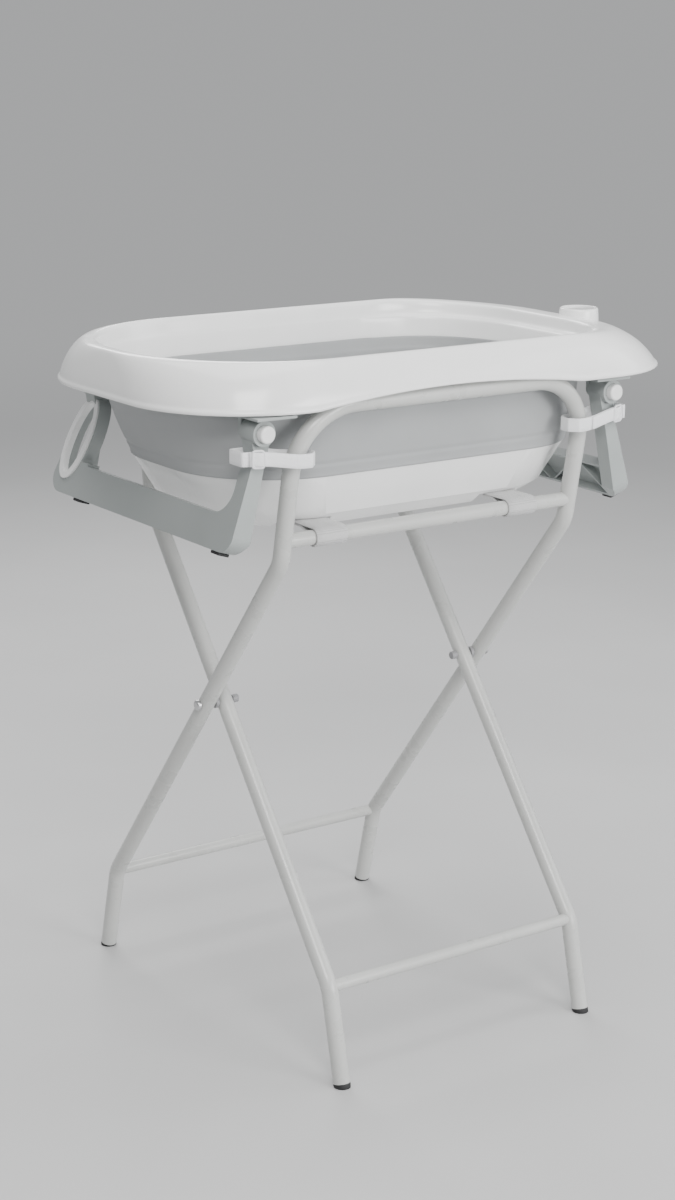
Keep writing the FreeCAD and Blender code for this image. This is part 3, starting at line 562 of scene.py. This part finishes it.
def tie_hull():
    """Outline of the arm and the stand's tube together, anticlockwise in plan."""
    outer, inner = TUBE_X
    front, rear = ARM_Y
    plan = [
        (ARM_X - ARM_HALF, front), (outer - TUBE_FACET, TUBE_Y - TUBE_REACH),
        (inner + TUBE_FACET, TUBE_Y - TUBE_REACH), (inner + TUBE_REACH, TUBE_Y - TUBE_FACET),
        (inner + TUBE_REACH, TUBE_Y + TUBE_FACET), (inner + TUBE_FACET, TUBE_Y + TUBE_REACH),
        (ARM_X + ARM_HALF + ARM_ROOM, rear), (ARM_X - ARM_HALF, rear),
    ]
    return [Vector((x, y, 0)) for x, y in plan]


def tie_height(x):
    """The tie slopes from the arm down to the tube."""
    return 806.0 - 8.0 * smooth_step(-286, -214, x)


def make_tie(side):
    """Tape round an end leg's arm and the stand's upright, with a slider and the tape's end."""
    hull = tie_hull()
    mirror = -1 if side == "right" else 1

    def placed(points):
        return [Vector((mirror * p.x, p.y, tie_height(p.x) + p.z)) for p in points]

    loop = resample(around(hull, TIE_GAP), TIE_STEP, True)
    whole = placed(loop)
    up = Vector((0, 0, 1))
    tie = tape("tape_" + side, whole, up, TIE_WIDTH, TIE_T, "tie_cloth", True)
    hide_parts("tie_" + side)
    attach(tie, "frame_a")
    run_length(whole, True) * MM
    a, b = hull[0], hull[1]
    along = (b - a).normalized()
    out = Vector((along.y, -along.x, 0))
    tail = placed(resample([a + along * s + out * (TIE_GAP + h) for s, h in TAIL], TAIL_STEP))
    extra = tape("tape_end_" + side, tail, up, TIE_WIDTH - TAIL_NARROWER, TIE_T, "tie_cloth")
    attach(extra, "frame_a")
    run_length(tail) * MM
    make_slider(side, a, along, out, placed)


def make_slider(side, a, along, out, placed):
    """Moulded slider: a rounded frame and the bar that the tape passes over."""
    middle = a + along * SLIDER_ALONG + out * SLIDER_OUT
    half_l, half_h = SLIDER_HALF
    r = SLIDER_CORNER_R
    path = []
    for cx, cz, start in ((half_l - r, half_h - r, 0), (r - half_l, half_h - r, 90),
                          (r - half_l, r - half_h, 180), (half_l - r, r - half_h, 270)):
        for i in range(SLIDER_CORNER_STEPS + 1):
            t = math.radians(start + 90 / SLIDER_CORNER_STEPS * i)
            path.append((cx + r * math.cos(t), cz + r * math.sin(t)))
    rings = []
    for i, (u, w) in enumerate(path):
        before, after = path[i - 1], path[(i + 1) % len(path)]
        outward = Vector((after[1] - before[1], -(after[0] - before[0]))).normalized()
        ring = []
        for k in range(ROUND_STEPS):
            t = 2 * math.pi * k / ROUND_STEPS
            du, dn = SLIDER_RIM[0] * math.cos(t), SLIDER_RIM[1] * math.sin(t)
            lifted = Vector((0, 0, w + outward.y * du))
            ring.append(middle + along * (u + outward.x * du) + out * dn + lifted)
        rings.append(placed(ring))
    slider = loft("slider_" + side, rings, "buckle_plastic")
    bar = []
    for share in (-1.0, -0.5, 0.0, 0.5, 1.0):
        level = Vector((0, 0, SLIDER_BAR_HALF * share))
        ring = []
        for k in range(ROUND_STEPS):
            t = 2 * math.pi * k / ROUND_STEPS
            across = along * (SLIDER_BAR[0] * math.cos(t))
            ring.append(middle + across + out * (SLIDER_BAR[1] * math.sin(t) - SLIDER_BAR_BACK) + level)
        bar.append(placed(ring))
    crossbar = loft("slider_bar_" + side, bar, "buckle_plastic", False, True)
    for piece in (slider, crossbar):
        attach(piece, "frame_a")
    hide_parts("tie_buckle_" + side)


# ---- CAD pieces that stay: moulded edges are eased ----
FLAT_WITHIN = 0.6          # degrees
WELD_DISTANCE = 0.00001    # metres


def ease_edges(node, width, angle=32.0, segments=2):
    piece = nodes[node]
    weld = piece.modifiers.new("weld", "WELD")
    weld.merge_threshold = WELD_DISTANCE
    plane = piece.modifiers.new("planes", "DECIMATE")
    plane.decimate_type = "DISSOLVE"
    plane.angle_limit = math.radians(FLAT_WITHIN)
    bevel = piece.modifiers.new("ease", "BEVEL")
    bevel.width = width * MM
    bevel.segments = segments
    bevel.limit_method = "ANGLE"
    bevel.angle_limit = math.radians(angle)
    bevel.use_clamp_overlap = True
    bevel.harden_normals = False


EASED = [("end_leg_left", 1.6), ("end_leg_right", 1.6), ("hanging_hole_ring", 1.2), ("bath_pan", 1.6)]
EASED += [("leg_rubber_pads_left", 1.0), ("leg_rubber_pads_right", 1.0)]
EASED += [("pivot_cap_nuts", 1.4), ("pivot_spacers", 0.8), ("drain_plug", 0.8), ("holder_insert", 0.6)]
EASED += [("frame_a_rubber_feet", 1.2), ("frame_b_rubber_feet", 1.2)]
EASED += [("hinge_bracket_" + side + "_" + end, 0.8)
          for side in ("left", "right") for end in ("front", "rear")]


def paint_cad():
    slots = {row["node"]: row["material_slot"] for row in frame["record"]["subparts"]}
    for name, piece in nodes.items():
        piece.data.materials.clear()
        piece.data.materials.append(MATERIALS[slots[name]])


def make_camera():
    """Three-quarter view from the front left, a little above the rim."""
    yaw, pitch, roll = math.radians(34.89), math.radians(15.08), math.radians(0.43)
    forward = Vector((math.sin(yaw) * math.cos(pitch), math.cos(yaw) * math.cos(pitch), -math.sin(pitch)))
    data = bpy.data.cameras.new("camera")
    camera = bpy.data.objects.new("camera", data)
    bpy.context.scene.collection.objects.link(camera)
    turn = forward.to_track_quat("-Z", "Y").to_matrix().to_4x4()
    place = Matrix.Translation((-1.6992 + MID_X * MM, -2.4115, 1.3405))
    camera.matrix_world = place @ turn @ Matrix.Rotation(roll, 4, "Z")
    data.sensor_width = 36.0
    data.lens = 68.04
    data.clip_end = 40.0
    bpy.context.scene.camera = camera


def area_light(name, place, target, size, power, colour=(1, 1, 1)):
    data = bpy.data.lights.new(name, "AREA")
    data.shape = "RECTANGLE"
    data.size, data.size_y = size
    data.energy = power
    data.color = colour
    light = bpy.data.objects.new(name, data)
    bpy.context.scene.collection.objects.link(light)
    light.location = place
    light.rotation_euler = (Vector(target) - Vector(place)).to_track_quat("-Z", "Y").to_euler()


BACKDROP = (0.80, 0.81, 0.82, 1)
BACKDROP_STRENGTH = 0.56


FLOOR_REACH = 9000


def make_studio():
    reach = FLOOR_REACH
    corners = [(-reach, -reach, 0), (reach, -reach, 0), (reach, reach, 0), (-reach, reach, 0)]
    floor = new_piece("studio_floor", corners,
                      [(0, 1, 2, 3)], "white_gloss", False)
    del floor["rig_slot"]
    material, tree, shader, coords = node_material("studio_floor")
    grain = noise(tree, coords, 1.5, 3.0)
    tree.links.new(tint(tree, grain, (0.52, 0.52, 0.52), (0.56, 0.56, 0.56)), shader.inputs["Base Color"])
    shader.inputs["Roughness"].default_value = 0.7
    length = tree.nodes.new("ShaderNodeVectorMath")
    length.operation = "LENGTH"
    tree.links.new(coords, length.inputs[0])
    fade = tree.nodes.new("ShaderNodeMapRange")
    fade.interpolation_type = "SMOOTHERSTEP"
    fade.inputs["From Min"].default_value = 1.2
    fade.inputs["From Max"].default_value = 6.5
    tree.links.new(length.outputs["Value"], fade.inputs["Value"])
    glow = tree.nodes.new("ShaderNodeEmission")
    glow.inputs["Color"].default_value = BACKDROP
    glow.inputs["Strength"].default_value = BACKDROP_STRENGTH
    blend = tree.nodes.new("ShaderNodeMixShader")
    tree.links.new(fade.outputs["Result"], blend.inputs["Fac"])
    tree.links.new(shader.outputs["BSDF"], blend.inputs[1])
    tree.links.new(glow.outputs["Emission"], blend.inputs[2])
    tree.links.new(blend.outputs["Shader"], tree.nodes["Material Output"].inputs["Surface"])
    floor.data.materials.clear()
    floor.data.materials.append(material)
    world = bpy.data.worlds.new("studio")
    world.use_nodes = True
    back = world.node_tree.nodes["Background"]
    back.inputs["Color"].default_value = BACKDROP
    back.inputs["Strength"].default_value = BACKDROP_STRENGTH
    bpy.context.scene.world = world
    target = (0, 0, 0.6)
    area_light("key", (-1.4, -2.6, 2.9), target, (1.4, 1.4), 84, (1.0, 0.99, 0.975))
    area_light("front", (0.9, -3.3, 1.3), (0, 0, 0.75), (1.6, 1.2), 84)
    area_light("fill", (2.6, -1.6, 1.6), target, (1.8, 1.8), 30, (0.95, 0.975, 1.0))
    area_light("rim_light", (0.8, 2.6, 2.4), target, (1.8, 1.2), 50)
    area_light("top", (0.0, 0.2, 3.2), target, (2.2, 2.2), 62)


make_camera()
make_studio()
paint_cad()
make_rim()
make_band()
for word, x in zip(("left", "right"), WEB_X):
    make_webbing(word, x)
for side in ("left", "right"):
    make_tie(side)
for node, width in EASED:
    ease_edges(node, width)
